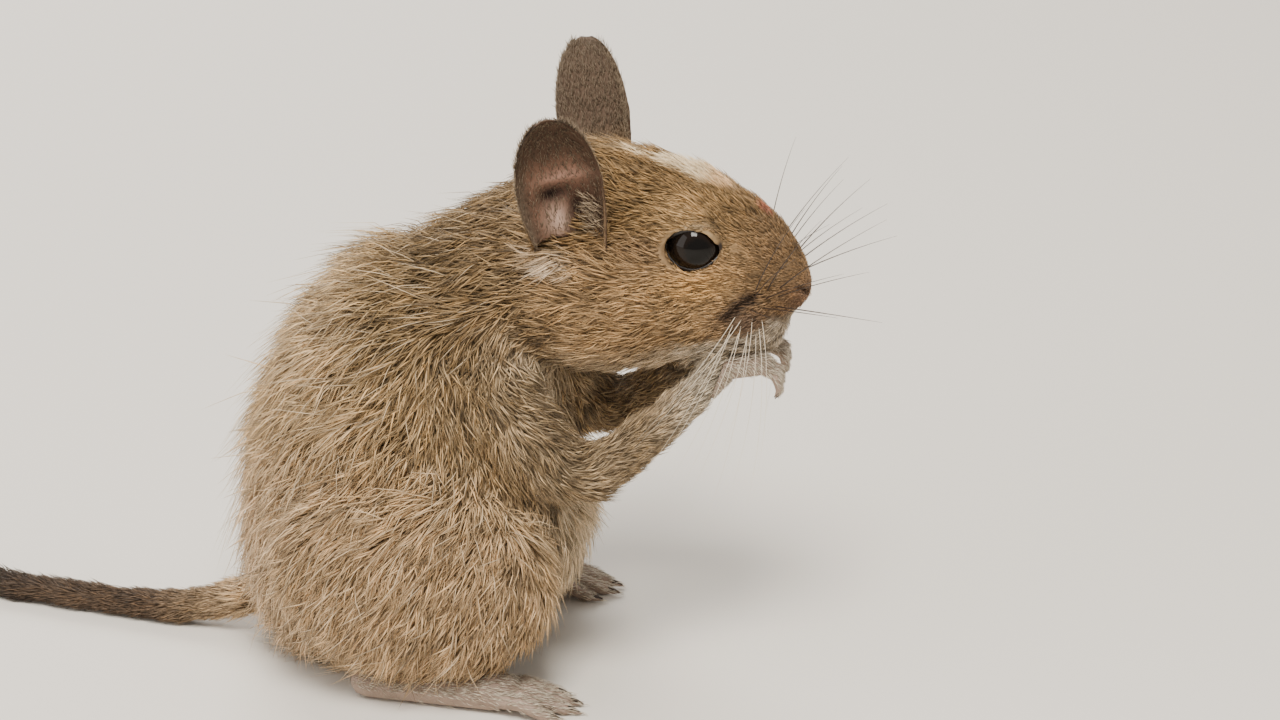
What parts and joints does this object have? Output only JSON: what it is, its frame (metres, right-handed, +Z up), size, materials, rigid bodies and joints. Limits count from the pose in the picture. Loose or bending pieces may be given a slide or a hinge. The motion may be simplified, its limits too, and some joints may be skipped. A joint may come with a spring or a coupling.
{
  "type": "degu model",
  "caption": "Still, life-size degu sitting up on its haunches, forepaws together under its chin, with a brush-tipped tail on the floor behind.",
  "frame": {"origin": "on the floor, under the middle of the model's footprint", "axes": "+X the way it faces, +Y its left side, +Z up"},
  "size_m": [0.1982, 0.066, 0.1046],
  "materials": {
    "coat": "short brindled fur, beige over olive brown",
    "brush": "black bristly hair",
    "ear": "thin dark grey-brown skin with sparse short hair",
    "eye": "wet black gloss",
    "foot": "grey-pink scaly skin under short pale hair"
  },
  "bodies": {
    "root": {"head": "coat", "neck": "coat", "torso": "coat", "haunch_left": "coat", "haunch_right": "coat", "foreleg_left": "coat", "foreleg_right": "coat", "tail_root": "coat", "tail_middle": "coat", "tail_brush": "brush", "ear_left": "ear", "ear_right": "ear", "eye_left": "eye", "eye_right": "eye", "hind_foot_left": "foot", "hind_foot_right": "foot", "forepaw_left": "foot", "forepaw_right": "foot"}
  },
  "joints": []
}
